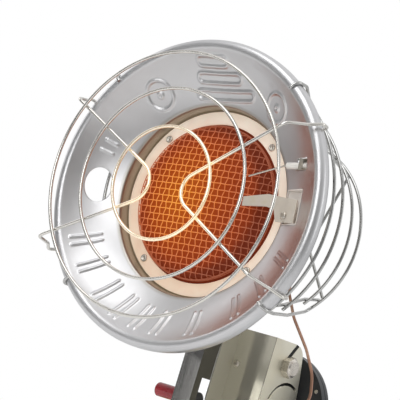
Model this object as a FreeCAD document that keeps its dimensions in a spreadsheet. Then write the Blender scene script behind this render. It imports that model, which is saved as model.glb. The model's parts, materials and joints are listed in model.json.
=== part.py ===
import FreeCAD, Part
import Sketcher
import math
import os

# Tank-top radiant heater: a 12 in dish with a gas-fired mesh emitter, a wire guard in
# front, a wire cage behind, and a plated stand that carries the gas valve, the regulator,
# the push-button igniter and the tank nipple.
# Object frame: +Z is up, the dish looks along -Y, and the origin is the centre of the tank
# nipple's end face, where the object is held. Millimetres and degrees.
# Two working frames sit at the centre of the dish's rim plane:
#   stand frame  x right, y to the rear, z up (the stand's sheet metal is square to it)
#   head frame   z out of the dish, x and y in the rim plane, rolled about the dish axis

V = FreeCAD.Vector
DOC = FreeCAD.newDocument("TankTopHeater")
SHEET = DOC.addObject("Spreadsheet::Sheet", "Sizes")

SIZES = [
    ("head_x", -23.0, "rim centre, X"),
    ("head_y", -290.0, "rim centre, Y"),
    ("head_z", 241.0, "rim centre, Z"),
    ("head_roll", 6.2, "turn of the head about its own axis, degrees"),
    ("sheet_t", 1.0, "dish and cup sheet"),
    ("rim_radius", 152.4, "outer radius of the dish, 12 in across"),
    ("bead_radius", 6.0, "rolled bead on the rim"),
    ("rim_depth", 12.0, "depth of the rolled rim"),
    ("well_radius", 94.5, "top edge of the burner well"),
    ("well_depth", 34.0, "depth of that edge behind the rim plane"),
    ("seat_radius", 93.0, "foot of the well wall"),
    ("seat_depth", 47.0, "face that the burner ring sits on"),
    ("seat_bore", 82.2, "inner edge of the dish sheet"),
    ("dish_curve", 122.0, "radius of the dish's section"),
    ("ring_radius", 91.7, "burner ring, outside"),
    ("ring_bore", 79.0, "burner ring, inside"),
    ("ring_t", 1.4, "burner ring sheet"),
    ("rivet_circle", 85.0, "rivets, radius of their circle"),
    ("mesh_radius", 76.0, "emitter mesh wall"),
    ("mesh_edge", 82.0, "emitter mesh clamped edge"),
    ("mesh_step", 38.0, "depth of the mesh dome's edge"),
    ("mesh_top", 30.0, "depth of the mesh dome's centre"),
    ("mesh_curve", 365.0, "radius of the mesh dome"),
    ("cup_radius", 81.0, "plenum cup, outside"),
    ("cup_lip", 90.0, "plenum cup lip, outside"),
    ("cup_back", 100.0, "depth of the cup's back face"),
    ("wire_r", 1.6, "guard and cage wire"),
    ("guard_depth", 36.5, "guard rings in front of the rim plane"),
    ("guard_inner", 54.5, "inner guard ring"),
    ("guard_middle", 91.7, "middle guard ring"),
    ("guard_outer", 127.4, "outer guard ring"),
    ("guard_leg", 138.0, "radius where a guard leg turns back"),
    ("cage_lift", 6.5, "cage axis above the dish axis"),
    ("cage_r_front", 132.3, "front cage ring"),
    ("cage_r_second", 121.2, "second cage ring"),
    ("cage_r_third", 99.9, "third cage ring"),
    ("cage_r_back", 93.0, "back cage ring"),
    ("cage_d_front", 55.9, "depth of the front cage ring"),
    ("cage_d_second", 92.9, "depth of the second cage ring"),
    ("cage_d_third", 151.2, "depth of the third cage ring"),
    ("cage_d_back", 182.6, "depth of the back cage ring"),
    ("metal_t", 1.5, "stand sheet"),
    ("strap_left", -11.5, "strap, left edge"),
    ("strap_right", 9.2, "strap, right edge"),
    ("strap_top", -64.0, "strap, top edge"),
    ("strap_return", 10.6, "depth of the strap's return flange"),
    ("foot_level", -285.0, "lower ends of strap and channel"),
    ("channel_front", 152.0, "front face of the channel web"),
    ("channel_left", 8.8, "channel, left edge"),
    ("channel_right", 53.5, "channel, outer face of its side plate"),
    ("channel_top", -101.5, "channel, top edge"),
    ("tube_r", 12.0, "mixing tube, outside"),
    ("tube_y", 138.0, "plane of the mixing tube and the valve"),
    ("tube_foot_x", -22.0, "mixing tube's mouth and injector, X"),
    ("valve_level", -212.0, "valve axis"),
    ("valve_r", 11.5, "valve body"),
    ("button_y", 119.0, "igniter button axis, Y"),
    ("button_level", -184.0, "igniter button axis, Z"),
    ("button_r", 7.1, "igniter button"),
    ("reg_x", 26.0, "regulator axis, X"),
    ("inlet_x", 23.0, "tank nipple axis, X"),
    ("reg_level", -167.0, "regulator axis, Z"),
    ("reg_flange_r", 58.0, "regulator flange"),
    ("reg_body_r", 25.0, "regulator front body"),
    ("reg_mid", 229.0, "regulator joint face, Y"),
    ("pipe_r", 4.0, "gas pipe"),
    ("pipe_y", 211.0, "regulator ports, Y"),
    ("inlet_level", -241.0, "tank nipple axis, Z"),
    ("inlet_end", 290.0, "end of the tank nipple, Y"),
    ("nose_r", 7.9, "nipple nose"),
    ("nipple_r", 6.0, "nipple shank"),
    ("nut_thread_r", 11.1, "tank nut thread"),
    ("knob_r", 24.0, "regulator knob"),
    ("lead_r", 1.5, "copper thermocouple lead"),
    ("ignition_r", 1.5, "ignition lead"),
    ("run_gap", 0.08, "radial running clearance"),
]


class Size:
    """A number together with the expression that gives it from the sheet."""

    def __init__(self, value, text):
        self.value = float(value)
        self.text = text

    @staticmethod
    def wrap(other):
        if isinstance(other, Size):
            return other
        return Size(other, "(%.6g)" % other)

    def __add__(self, other):
        other = Size.wrap(other)
        return Size(self.value + other.value, "(%s + %s)" % (self.text, other.text))

    def __sub__(self, other):
        other = Size.wrap(other)
        return Size(self.value - other.value, "(%s - %s)" % (self.text, other.text))

    def __mul__(self, other):
        other = Size.wrap(other)
        return Size(self.value * other.value, "(%s * %s)" % (self.text, other.text))

    def __truediv__(self, other):
        other = Size.wrap(other)
        return Size(self.value / other.value, "(%s / %s)" % (self.text, other.text))

    def __neg__(self):
        return Size(-self.value, "(0 - %s)" % self.text)

    __radd__ = __add__
    __rmul__ = __mul__

    def __rsub__(self, other):
        return Size.wrap(other) - self


class Names:
    """Attribute access to the sheet's rows."""


S = Names()
for row, (name, value, note) in enumerate(SIZES, start=1):
    SHEET.set("A%d" % row, name)
    SHEET.set("B%d" % row, "%g" % value)
    SHEET.set("C%d" % row, note)
    SHEET.setAlias("B%d" % row, name)
    setattr(S, name, Size(value, "Sizes.%s" % name))
DOC.recompute()

PUBLISHED = []


def num(value):
    return value.value if isinstance(value, Size) else float(value)


def give(thing, prop, value):
    """Set a property and bind it to the sheet where the value comes from there."""
    setattr(thing, prop, num(value))
    if isinstance(value, Size):
        thing.setExpression(prop, value.text)


def put(thing, x, y, z, turn=None):
    """Place a piece, binding each coordinate that comes from the sheet."""
    rotation = turn if turn is not None else FreeCAD.Rotation()
    thing.Placement = FreeCAD.Placement(V(num(x), num(y), num(z)), rotation)
    for axis, value in (("x", x), ("y", y), ("z", z)):
        if isinstance(value, Size):
            thing.setExpression("Placement.Base.%s" % axis, value.text)
    return thing


TURNS = {
    "X": FreeCAD.Rotation(V(0, 0, 1), V(1, 0, 0)),
    "Y": FreeCAD.Rotation(V(1, 0, 0), -90),
    "Z": FreeCAD.Rotation(),
}


def along(axis, at, start):
    """Coordinates of a point at `start` on a line parallel to an axis."""
    if axis == "X":
        return (start, at[0], at[1])
    if axis == "Y":
        return (at[0], start, at[1])
    return (at[0], at[1], start)


def box(x0, x1, y0, y1, z0, z1):
    b = DOC.addObject("Part::Box", "Block")
    give(b, "Length", x1 - x0)
    give(b, "Width", y1 - y0)
    give(b, "Height", z1 - z0)
    return put(b, x0, y0, z0)


def rod(axis, at, radius, start, end):
    c = DOC.addObject("Part::Cylinder", "Rod")
    give(c, "Radius", radius)
    give(c, "Height", end - start)
    return put(c, *along(axis, at, start), turn=TURNS[axis])


def cone(axis, at, r0, r1, start, end):
    c = DOC.addObject("Part::Cone", "Cone")
    give(c, "Radius1", r0)
    give(c, "Radius2", r1)
    give(c, "Height", end - start)
    return put(c, *along(axis, at, start), turn=TURNS[axis])


def hexagon(axis, at, corner_radius, start, end):
    p = DOC.addObject("Part::Prism", "Hex")
    p.Polygon = 6
    give(p, "Circumradius", corner_radius)
    give(p, "Height", end - start)
    return put(p, *along(axis, at, start), turn=TURNS[axis])


def hoop(centre, radius, wire, first=0.0, sweep=360.0, axis="Z"):
    """A ring of round wire, or part of one."""
    t = DOC.addObject("Part::Torus", "Hoop")
    give(t, "Radius1", radius)
    give(t, "Radius2", wire)
    t.Angle1 = -180
    t.Angle2 = 180
    t.Angle3 = sweep
    spin = TURNS[axis].multiply(FreeCAD.Rotation(V(0, 0, 1), first))
    return put(t, *centre, turn=spin)


def fuse(*pieces):
    """One solid from touching pieces, or a group of separate solids."""
    if len(pieces) == 1:
        f = DOC.addObject("Part::Compound", "Group")
        f.Links = list(pieces)
        return f
    f = DOC.addObject("Part::MultiFuse", "Joined")
    f.Shapes = list(pieces)
    return f


def cut(base, *tools):
    c = DOC.addObject("Part::Cut", "Cut")
    c.Base = base
    c.Tool = tools[0] if len(tools) == 1 else fuse(*tools)
    return c


def common(a, b):
    c = DOC.addObject("Part::MultiCommon", "Common")
    c.Shapes = [a, b]
    return c


def arc_middle(a, b, radius):
    """Middle of the arc from a to b; a positive radius has its centre on the left."""
    dx = b[0] - a[0]
    dy = b[1] - a[1]
    chord = math.hypot(dx, dy)
    rise = abs(radius) - math.sqrt(max(radius * radius - chord * chord / 4.0, 0.0))
    side = 1.0 if radius > 0 else -1.0
    mx = (a[0] + b[0]) / 2.0 + side * rise * dy / chord
    my = (a[1] + b[1]) / 2.0 - side * rise * dx / chord
    return (mx, my)


def outline(body, plane, corners, offset=0.0):
    """A closed sketch: corners (a, b) or (a, b, radius of the arc to the next corner)."""
    sketch = body.newObject("Sketcher::SketchObject", "Outline")
    support = [f for f in body.Origin.OriginFeatures if f.Role == plane][0]
    sketch.AttachmentSupport = (support, [""])
    sketch.MapMode = "FlatFace"
    sketch.AttachmentOffset = FreeCAD.Placement(V(0, 0, num(offset)), FreeCAD.Rotation())
    if isinstance(offset, Size):
        sketch.setExpression("AttachmentOffset.Base.z", offset.text)
    count = len(corners)
    points = [(num(c[0]), num(c[1])) for c in corners]
    arcs = {}
    for i in range(count):
        a = points[i]
        b = points[(i + 1) % count]
        if len(corners[i]) == 3:
            m = arc_middle(a, b, num(corners[i][2]))
            if num(corners[i][2]) < 0:
                a, b = b, a
            sketch.addGeometry(Part.Arc(V(a[0], a[1], 0), V(m[0], m[1], 0), V(b[0], b[1], 0)))
            arcs[i] = corners[i][2]
        else:
            sketch.addGeometry(Part.LineSegment(V(a[0], a[1], 0), V(b[0], b[1], 0)))

    def end_at(index, point):
        edge = sketch.Geometry[index]
        near = (edge.StartPoint - V(point[0], point[1], 0)).Length
        far = (edge.EndPoint - V(point[0], point[1], 0)).Length
        return 1 if near < far else 2

    for i in range(count):
        j = (i + 1) % count
        sketch.addConstraint(Sketcher.Constraint(
            "Coincident", i, end_at(i, points[j]), j, end_at(j, points[j])))
    for i in range(count):
        for kind, which in (("DistanceX", 0), ("DistanceY", 1)):
            k = sketch.addConstraint(Sketcher.Constraint(
                kind, -1, 1, i, end_at(i, points[i]), points[i][which]))
            if isinstance(corners[i][which], Size):
                sketch.setExpression("Constraints[%d]" % k, corners[i][which].text)
    for i, radius in arcs.items():
        k = sketch.addConstraint(Sketcher.Constraint("Radius", i, abs(num(radius))))
        if isinstance(radius, Size):
            text = radius.text if radius.value > 0 else "(0 - %s)" % radius.text
            sketch.setExpression("Constraints[%d]" % k, text)
    return sketch


def turned(corners):
    """A solid of revolution about +Z from (radius, height) corners."""
    body = DOC.addObject("PartDesign::Body", "Turned")
    sketch = outline(body, "XZ_Plane", corners)
    feature = body.newObject("PartDesign::Revolution", "Turn")
    feature.Profile = sketch
    feature.ReferenceAxis = (sketch, ["V_Axis"])
    feature.Angle = 360
    body.Tip = feature
    return body


def plate(plane, corners, offset, thickness):
    """A flat plate: an outline on a plane, raised along that plane's normal."""
    body = DOC.addObject("PartDesign::Body", "Plate")
    sketch = outline(body, plane, corners, offset)
    feature = body.newObject("PartDesign::Pad", "Raise")
    feature.Profile = sketch
    give(feature, "Length", thickness)
    body.Tip = feature
    return body


def route(points, bends):
    """A path of straight runs joined by tangent arcs, as one wire."""
    pts = [V(*[num(c) for c in p]) for p in points]
    if isinstance(bends, (int, float)):
        bends = [bends] * (len(pts) - 2)
    edges = []
    here = pts[0]
    for i in range(1, len(pts) - 1):
        back = (pts[i - 1] - pts[i]).normalize()
        ahead = (pts[i + 1] - pts[i]).normalize()
        half = back.getAngle(ahead) / 2.0
        reach = bends[i - 1] / math.tan(half)
        start = pts[i] + back * reach
        end = pts[i] + ahead * reach
        middle_dir = (back + ahead).normalize()
        centre = pts[i] + middle_dir * (bends[i - 1] / math.sin(half))
        middle = centre - middle_dir * bends[i - 1]
        if (start - here).dot(back) > 1e-9:
            raise ValueError("bend %d of a route has no room" % i)
        if (start - here).Length > 1e-6:
            edges.append(Part.makeLine(here, start))
        edges.append(Part.Arc(start, middle, end).toShape())
        here = end
    edges.append(Part.makeLine(here, pts[-1]))
    return Part.Wire(edges)


def swept(path, radius):
    start = path.OrderedEdges[0]
    p = start.valueAt(start.FirstParameter)
    t = start.tangentAt(start.FirstParameter)
    ring = Part.Wire([Part.makeCircle(radius, p, t)])
    solid = path.makePipeShell([ring], True, False, 2)
    expected = math.pi * radius * radius * path.Length
    if abs(solid.Volume - expected) > 0.01 * expected:
        raise ValueError("a swept wire has volume %.1f, not %.1f" % (solid.Volume, expected))
    return solid


def bent(points, bends, radius):
    """A wire bent along a route."""
    f = DOC.addObject("Part::Feature", "Bent")
    f.Shape = swept(route(points, bends), num(radius))
    return f


def coil(axis, at, radius, wire, start, end, turns):
    """A compression spring."""
    length = num(end) - num(start)
    helix = Part.makeHelix(length / turns, length, num(radius))
    ring = Part.Wire([Part.makeCircle(num(wire), V(num(radius), 0, 0), V(0, 1, 0))])
    f = DOC.addObject("Part::Feature", "Coil")
    f.Shape = helix.makePipeShell([ring], True, False, 2)
    return put(f, *along(axis, at, start), turn=TURNS[axis])


def polar(radius, degrees, centre=(0.0, 0.0)):
    a = math.radians(degrees)
    return (centre[0] + radius * math.cos(a), centre[1] + radius * math.sin(a))


HEAD_TURN = FreeCAD.Rotation(V(0, 1, 0), -num(S.head_roll)).multiply(
    FreeCAD.Rotation(V(1, 0, 0), 90))


def publish(name, thing, frame):
    """Name a finished sub-part and carry it from its working frame to the object frame."""
    thing.Label = name
    own = thing.Placement.Rotation
    shift = thing.Placement.Base
    if frame == "head":
        turn = HEAD_TURN
    else:
        turn = FreeCAD.Rotation()
    if shift.Length > 1e-9 or abs(own.Angle) > 1e-9:
        thing.Label = name + "_form"
        thing = fuse(thing)
        thing.Label = name
    put(thing, S.head_x, S.head_y, S.head_z, turn=turn)
    PUBLISHED.append((name, thing))


# ---------------------------------------------------------------- the dish and its burner

bead = S.bead_radius
t = S.sheet_t
rim = S.rim_radius
bead_mid = rim - bead
JOIN_IN = 0.736
JOIN_UP = 0.677
join = (bead_mid - bead * JOIN_IN, bead * JOIN_UP - bead)
join_under = (bead_mid - (bead - t) * JOIN_IN, (bead - t) * JOIN_UP - bead)
dish_shell = turned([
    (rim, -S.rim_depth),
    (rim, -bead, bead),
    (bead_mid, 0.0, bead),
    (join[0], join[1], -S.dish_curve),
    (S.well_radius, -S.well_depth),
    (S.seat_radius, -S.seat_depth),
    (S.seat_bore, -S.seat_depth),
    (S.seat_bore, -S.seat_depth - t),
    (S.seat_radius + t, -S.seat_depth - t),
    (S.well_radius + 0.6, -S.well_depth - 0.85, S.dish_curve + 1.0),
    (join_under[0], join_under[1], -(bead - t)),
    (bead_mid, -t, -(bead - t)),
    (rim - t, -bead),
    (rim - t, -S.rim_depth),
])
SADDLE = (95.5, 118.5, -15.5, 18.5)
SLOT = (104.0, 121.0, 36.0, 47.0)
rivet_angles = (45.0, 135.0, -135.0, -45.0)
rivet_spots = [polar(num(S.rivet_circle), a) for a in rivet_angles]
vent = DOC.addObject("Part::Feature", "VentHole")
vent_edge = Part.Ellipse(V(-116.5, 3.6 + 17.3, -40.0), V(-116.5 - 11.5, 3.6, -40.0),
                         V(-116.5, 3.6, -40.0)).toShape()
vent.Shape = Part.Face(Part.Wire([vent_edge])).extrude(V(0.0, 0.0, 40.0))
dish_holes = [vent]
dish_holes.append(box(SADDLE[0], SADDLE[1], SADDLE[2], SADDLE[3], -60.0, -5.0))
dish_holes.append(box(SLOT[0], SLOT[1], SLOT[2], SLOT[3], -60.0, -5.0))
dish_holes.append(box(95.5, 105.0, 36.6, 44.4, -60.0, -5.0))
for spot in rivet_spots:
    dish_holes.append(rod("Z", spot, 1.6, -50.0, -40.0))
publish("reflector", cut(dish_shell, *dish_holes), "head")

ring_front = -S.seat_depth + S.ring_t
ring_holes = [rod("Z", (0.0, 0.0), S.ring_bore, -50.0, -40.0)]
for spot in rivet_spots:
    ring_holes.append(rod("Z", spot, 1.6, -50.0, -40.0))
ring_disc = rod("Z", (0.0, 0.0), S.ring_radius, -S.seat_depth, ring_front)
publish("burner_flange", cut(ring_disc, *ring_holes), "head")

rivets = []
for spot in rivet_spots:
    head_cap = cone("Z", spot, 3.2, 2.2, ring_front, ring_front + 1.4)
    shank = rod("Z", spot, 1.5, -S.seat_depth - t * 2 - 1.2, ring_front)
    tail = rod("Z", spot, 2.6, -S.seat_depth - t * 2 - 1.2, -S.seat_depth - t * 2)
    rivets.append(fuse(head_cap, shank, tail))
publish("flange_rivets", fuse(*rivets), "head")

cup_form = turned([
    (0.0, -S.cup_back),
    (S.cup_radius, -S.cup_back),
    (S.cup_radius, -S.seat_depth - t * 2),
    (S.cup_lip, -S.seat_depth - t * 2),
    (S.cup_lip, -S.seat_depth - t),
    (S.cup_radius - t, -S.seat_depth - t),
    (S.cup_radius - t, -S.cup_back + t),
    (0.0, -S.cup_back + t),
])


def to_head(x, y, z):
    """A stand-frame point in head-frame coordinates."""
    a = math.radians(num(S.head_roll))
    x = num(x)
    z = num(z)
    return (x * math.cos(a) + z * math.sin(a), -x * math.sin(a) + z * math.cos(a), -num(y))


def to_stand(a, b, c):
    """A head-frame point in stand-frame coordinates."""
    r = math.radians(num(S.head_roll))
    return (a * math.cos(r) - b * math.sin(r), -c, a * math.sin(r) + b * math.cos(r))


TUBE_TOP = (13.4, -40.0)
SCREW_SPOTS = ((-6.0, -74.0), (4.0, -74.0))
tube_port = to_head(TUBE_TOP[0], 0.0, TUBE_TOP[1])
cup_holes = [rod("Z", (tube_port[0], tube_port[1]), S.tube_r, -110.0, -90.0)]
for x, z in SCREW_SPOTS:
    p = to_head(x, 0.0, z)
    cup_holes.append(rod("Z", (p[0], p[1]), 2.1, -110.0, -90.0))
for spot in rivet_spots:
    cup_holes.append(rod("Z", spot, 1.6, -52.0, -46.0))
publish("plenum_cup", cut(cup_form, *cup_holes), "head")

mesh_t = 0.5


def dome(radius, edge_top, edge_low, lift):
    """The stepped dome of a burner screen with its clamped edge."""
    r = radius
    curve = S.mesh_curve
    return turned([
        (S.mesh_edge, edge_low),
        (S.mesh_edge, edge_top),
        (r, edge_top),
        (r, -S.mesh_step - lift, curve),
        (3.0, -S.mesh_top - lift),
        (0.0, -S.mesh_top - lift),
        (0.0, -S.mesh_top - lift - mesh_t),
        (3.0, -S.mesh_top - lift - mesh_t, -curve),
        (r - mesh_t, -S.mesh_step - lift - mesh_t + 0.1),
        (r - mesh_t, edge_low),
    ])


publish("emitter_mesh", dome(S.mesh_radius, -S.seat_depth, -S.seat_depth - mesh_t, 0.0), "head")
publish("emitter_core",
        dome(S.mesh_radius - 2.0, -S.seat_depth - mesh_t, -S.seat_depth - t, 2.5), "head")

# ------------------------------------------------------------------- the front guard

wire = S.wire_r
for name, radius in (("inner", S.guard_inner), ("middle", S.guard_middle),
                     ("outer", S.guard_outer)):
    publish("guard_ring_" + name, fuse(hoop((0.0, 0.0, S.guard_depth), radius, wire)), "head")

LEG_LEVEL = num(S.guard_depth) - 2 * num(wire)
UNDER_RIM = -num(S.rim_depth) - num(wire) - 0.05
APEX = (8.0, -4.0)


def guard_leg(angle, turn_radius, wide):
    """A guard leg from its turn at the outer ring to the hook behind the rim."""
    stations = [(turn_radius, LEG_LEVEL), (wide - 8.8, 9.0), (wide, -3.0),
                (156.0, UNDER_RIM), (146.5, UNDER_RIM)]
    return [polar(r, angle) + (h,) for r, h in stations]


GUARD_LEGS = (("left", (147.6, 142.0, 158.5), (-154.5, 146.0, 161.0), 20.0),
              ("right", (29.1, 138.0, 157.3), (-33.4, 138.0, 157.3), 18.0))
for name, upper, lower, tip in GUARD_LEGS:
    first = guard_leg(*upper)
    second = guard_leg(*lower)
    points = first[::-1] + [APEX + (LEG_LEVEL,)] + second
    bends = [3.0, 6.0, 6.0, 8.0, tip, 8.0, 6.0, 6.0, 3.0]
    publish("guard_wire_" + name, bent(points, bends, wire), "head")

# ------------------------------------------------------------------- the rear cage

CAGE = [("front", S.cage_r_front, S.cage_d_front), ("second", S.cage_r_second, S.cage_d_second),
        ("third", S.cage_r_third, S.cage_d_third), ("back", S.cage_r_back, S.cage_d_back)]
RING_FIRST = -50.0
RING_SWEEP = 280.0
OVER_RIM = num(wire) + 0.02
BESIDE_RIM = num(rim) + num(wire) + 0.02
hook = [(BESIDE_RIM, -17.0), (BESIDE_RIM, OVER_RIM), (144.5, OVER_RIM)]
cage_centre = (0.0, num(S.cage_lift))


def stay(side):
    """The back ring's wire led forward to a hook over the rim."""
    end = polar(num(S.cage_r_back), RING_FIRST, cage_centre)
    a = math.radians(RING_FIRST)
    corner = (end[0] + 13.0 * math.sin(a), end[1] - 13.0 * math.cos(a))
    level = -num(S.cage_d_back)
    rim_points = [polar(r, -40.7) + (h,) for r, h in hook]
    points = [end + (level,), corner + (level,), (83.0, -90.5, -95.0)] + rim_points
    points = [(side * p[0], p[1], p[2]) for p in points]
    return bent(points, [10.0, 60.0, 8.0, 7.62], wire)


for name, radius, depth in CAGE:
    ring = hoop((0.0, S.cage_lift, -depth), radius, wire, RING_FIRST, RING_SWEEP)
    if name == "back":
        publish("cage_ring_back", fuse(ring, stay(1.0), stay(-1.0)), "head")
    else:
        publish("cage_ring_" + name, fuse(ring), "head")

spine_stations = []
for index, (name, radius, depth) in enumerate(CAGE):
    before = CAGE[max(index - 1, 0)]
    after = CAGE[min(index + 1, 3)]
    lean = math.atan2(num(before[1]) - num(after[1]), num(after[2]) - num(before[2]))
    off = -2 * num(wire)
    spine_stations.append((num(radius) + off * math.cos(lean), -num(depth) - off * math.sin(lean)))
cage_back_end = (spine_stations[3][0] - 0.9, spine_stations[3][1] - 4.0)
for name, rim_angle in (("upper_right", 48.0), ("upper_left", 134.0)):
    rim_points = [polar(r, rim_angle) + (h,) for r, h in hook]
    lean_point = rim_points[0]
    cage_angle = math.degrees(math.atan2(lean_point[1] - cage_centre[1], lean_point[0]))
    back = [polar(r, cage_angle, cage_centre) + (h,) for r, h in spine_stations]
    tail = polar(cage_back_end[0], cage_angle, cage_centre) + (cage_back_end[1],)
    points = [tail] + back[::-1] + rim_points
    bends = [20.0, 40.0, 40.0, 20.0, 8.0, 7.62]
    bends[0] = 6.0
    publish("cage_spine_" + name, bent(points, bends, wire), "head")

for name, angle in (("lower_right", -48.0), ("lower_left", 228.0)):
    back = [polar(r, angle, cage_centre) + (h,) for r, h in spine_stations]
    tail = polar(cage_back_end[0], angle, cage_centre) + (cage_back_end[1],)
    front = polar(132.5, angle, cage_centre) + (-45.0,)
    points = [tail] + back[::-1] + [front]
    publish("cage_spine_" + name, bent(points, [6.0, 40.0, 40.0, 40.0], wire), "head")

CHORD_LEVEL = -num(S.cage_d_back) + 2 * num(wire)
for name, side in (("right", 1.0), ("left", -1.0)):
    # a bowed wire across the back ring
    upper = polar(num(S.cage_r_back), 41.5, cage_centre)
    lower = polar(num(S.cage_r_back), -44.0, cage_centre)
    points = [upper + (CHORD_LEVEL,), (39.0, -8.0, CHORD_LEVEL), lower + (CHORD_LEVEL,)]
    points = [(side * p[0], p[1], p[2]) for p in points]
    publish("cage_chord_" + name, bent(points, 16.0, wire), "head")

# ----------------------------------------------- the flame sensor and the igniter

tray = plate("XZ_Plane", [(SADDLE[0], -35.0), (SADDLE[1], -35.0), (SADDLE[1], -21.5),
                          (SADDLE[0], -33.0)], -SADDLE[3], SADDLE[3] - SADDLE[2])
tray_room = box(SADDLE[0] + 1.0, SADDLE[1] - 1.0, SADDLE[2] + 1.0, SADDLE[3] - 1.0, -34.0, -10.0)
SENSOR = (99.8, -7.5)
publish("sensor_saddle", cut(tray, tray_room, rod("Z", SENSOR, 3.1, -40.0, -30.0)), "head")

PLATE_LOW = -28.0
PLATE_HIGH = -26.5
blade = plate("XY_Plane", [(52.0, -2.0), (79.0, -0.5), (88.0, -2.5), (92.0, -14.0),
                           (111.6, -14.0), (111.6, 8.5), (79.0, 11.5), (52.0, 7.0)],
              PLATE_LOW, PLATE_HIGH - PLATE_LOW)
publish("sensor_plate", cut(blade, rod("Z", SENSOR, 1.6, -30.0, -25.0)), "head")

probe = fuse(rod("Z", SENSOR, 3.0, -45.0, PLATE_LOW), hexagon("Z", SENSOR, 4.2, -39.0, -35.0))
publish("thermocouple", cut(probe, rod("Z", SENSOR, 1.6, -38.0, -25.0)), "head")
publish("sensor_screw", fuse(cone("Z", SENSOR, 3.6, 2.6, PLATE_HIGH, PLATE_HIGH + 1.8),
                             rod("Z", SENSOR, 1.5, -37.0, PLATE_HIGH)), "head")

IGN = -26.0
electrode_path = [(117.0, 41.5, IGN), (91.0, 39.48, IGN), (53.9, 26.7, IGN)]
publish("igniter_electrode", bent(electrode_path, 6.0, 0.9), "head")
ceramic_ends = [(116.0, 41.422, IGN), (93.7, 39.69, IGN)]
ceramic = DOC.addObject("Part::Feature", "Ceramic")
ceramic_wire = Part.Wire([Part.makeLine(V(*ceramic_ends[0]), V(*ceramic_ends[1]))])
ceramic.Shape = swept(ceramic_wire, 3.2)
ceramic_bore = DOC.addObject("Part::Feature", "CeramicBore")
ceramic_line = Part.Wire([Part.makeLine(V(*electrode_path[0]), V(*electrode_path[1]))])
ceramic_bore.Shape = swept(ceramic_line, 0.95)
publish("igniter_ceramic", cut(ceramic, ceramic_bore), "head")

clip_side = [(SLOT[0], -30.5), (SLOT[1], -30.5), (SLOT[1], -16.7), (SLOT[0], -25.8)]
clip_body = plate("XZ_Plane", clip_side, -SLOT[3], SLOT[3] - SLOT[2])
clip_room = box(SLOT[0] - 1.0, SLOT[1] + 1.0, SLOT[2] + 1.0, SLOT[3] - 1.0, -29.25, -10.0)
clip_bridge = box(108.0, 112.0, SLOT[2] + 1.0, SLOT[3] - 1.0, -22.75, -21.9)
clip_cheek_a = box(108.0, 112.0, SLOT[2], SLOT[2] + 1.0, -26.0, -21.9)
clip_cheek_b = box(108.0, 112.0, SLOT[3] - 1.0, SLOT[3], -26.0, -21.9)
publish("igniter_clip", fuse(cut(clip_body, clip_room), clip_bridge, clip_cheek_a,
                             clip_cheek_b), "head")

# ------------------------------------------------------------------- the stand

m = S.metal_t
strap_y = S.cup_back
strap_plate = box(S.strap_left, S.strap_right, strap_y, strap_y + m, S.foot_level, S.strap_top)
strap_flange = box(S.strap_right - m, S.strap_right, strap_y, strap_y + S.strap_return,
                   S.foot_level, S.strap_top)
strap_wing = box(S.strap_right - m, S.strap_right, strap_y, 125.0, -161.0, -78.0)
ear = plate("YZ_Plane", [(strap_y, -166.0), (132.0, -166.0), (132.0, -196.0), (152.0, -196.0),
                         (152.0, -228.0), (strap_y, -228.0)], S.strap_left, m)
button_at = (S.button_y, S.button_level)
valve_at = (S.tube_y, S.valve_level)
strap_holes = [rod("X", button_at, S.button_r + S.run_gap, -20.0, 0.0),
               rod("X", valve_at, S.valve_r, -20.0, 0.0)]
for x, z in SCREW_SPOTS:
    strap_holes.append(rod("Y", (x, z), 2.1, 90.0, 110.0))
TIE_LEVEL = -270.0
strap_holes.append(rod("Y", (-2.0, TIE_LEVEL), 2.1, 90.0, 110.0))
publish("stand_strap", cut(fuse(strap_plate, strap_flange, strap_wing, ear),
                           *strap_holes), "stand")

web = box(S.channel_left, S.channel_right, S.channel_front, S.channel_front + m,
          S.foot_level, S.channel_top)
lip = plate("YZ_Plane", [(125.6, S.channel_top), (125.6, -178.0, 7.0), (132.6, -185.0),
                         (S.channel_front + m, -185.0), (S.channel_front + m, S.channel_top)],
            S.channel_left, m)
side = plate("YZ_Plane", [(S.channel_front, S.foot_level), (190.0, S.foot_level),
                          (190.0, -203.0, 20.0), (206.0, -183.0), (218.6, -154.4),
                          (213.8, -132.0), (207.0, -110.0, 20.0), (190.0, S.channel_top),
                          (S.channel_front, S.channel_top)], S.channel_right - m, m)
BOLT_AT = (183.0, -126.0)
BOSS_AT = (197.3, -174.5)
SLOT_FOOT = (180.5, -119.5)
side_cuts = [rod("X", BOLT_AT, 4.1, 45.0, 60.0)]
slot_block = box(40.0, 60.0, -2.5, 2.5, 0.0, 40.0)
slot_block.Placement = FreeCAD.Placement(
    V(52.6, SLOT_FOOT[0], SLOT_FOOT[1]), FreeCAD.Rotation(V(1, 0, 0), -36.5)).multiply(
    FreeCAD.Placement(V(0, -2.5, 0), FreeCAD.Rotation()))
side_cuts.append(slot_block)
arc_ring = cut(rod("X", BOSS_AT, 33.8, 45.0, 60.0), rod("X", BOSS_AT, 30.8, 44.0, 61.0))
side_cuts.append(cut(arc_ring, box(40.0, 65.0, 150.0, 240.0, -220.0, -162.0),
                     box(40.0, 65.0, 212.5, 240.0, -170.0, -130.0)))
WEB_SCREW = (15.6, -137.5)
channel_holes = side_cuts + [rod("Y", WEB_SCREW, 2.1, 148.0, 158.0),
                             rod("Y", (31.0, TIE_LEVEL), 2.1, 148.0, 158.0)]
publish("stand_channel", cut(fuse(web, lip, side), *channel_holes), "stand")


def pan_screw(spot, face, toward, length):
    """A pan-head screw along Y: the head stands off `face` on its -toward side."""
    if toward > 0:
        head_part = cone("Y", spot, 2.6, 3.6, face - 2.2, face)
        shank_part = rod("Y", spot, 2.0, face, face + length)
    else:
        head_part = cone("Y", spot, 3.6, 2.6, face, face + 2.2)
        shank_part = rod("Y", spot, 2.0, face - length, face)
    return fuse(head_part, shank_part)


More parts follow.
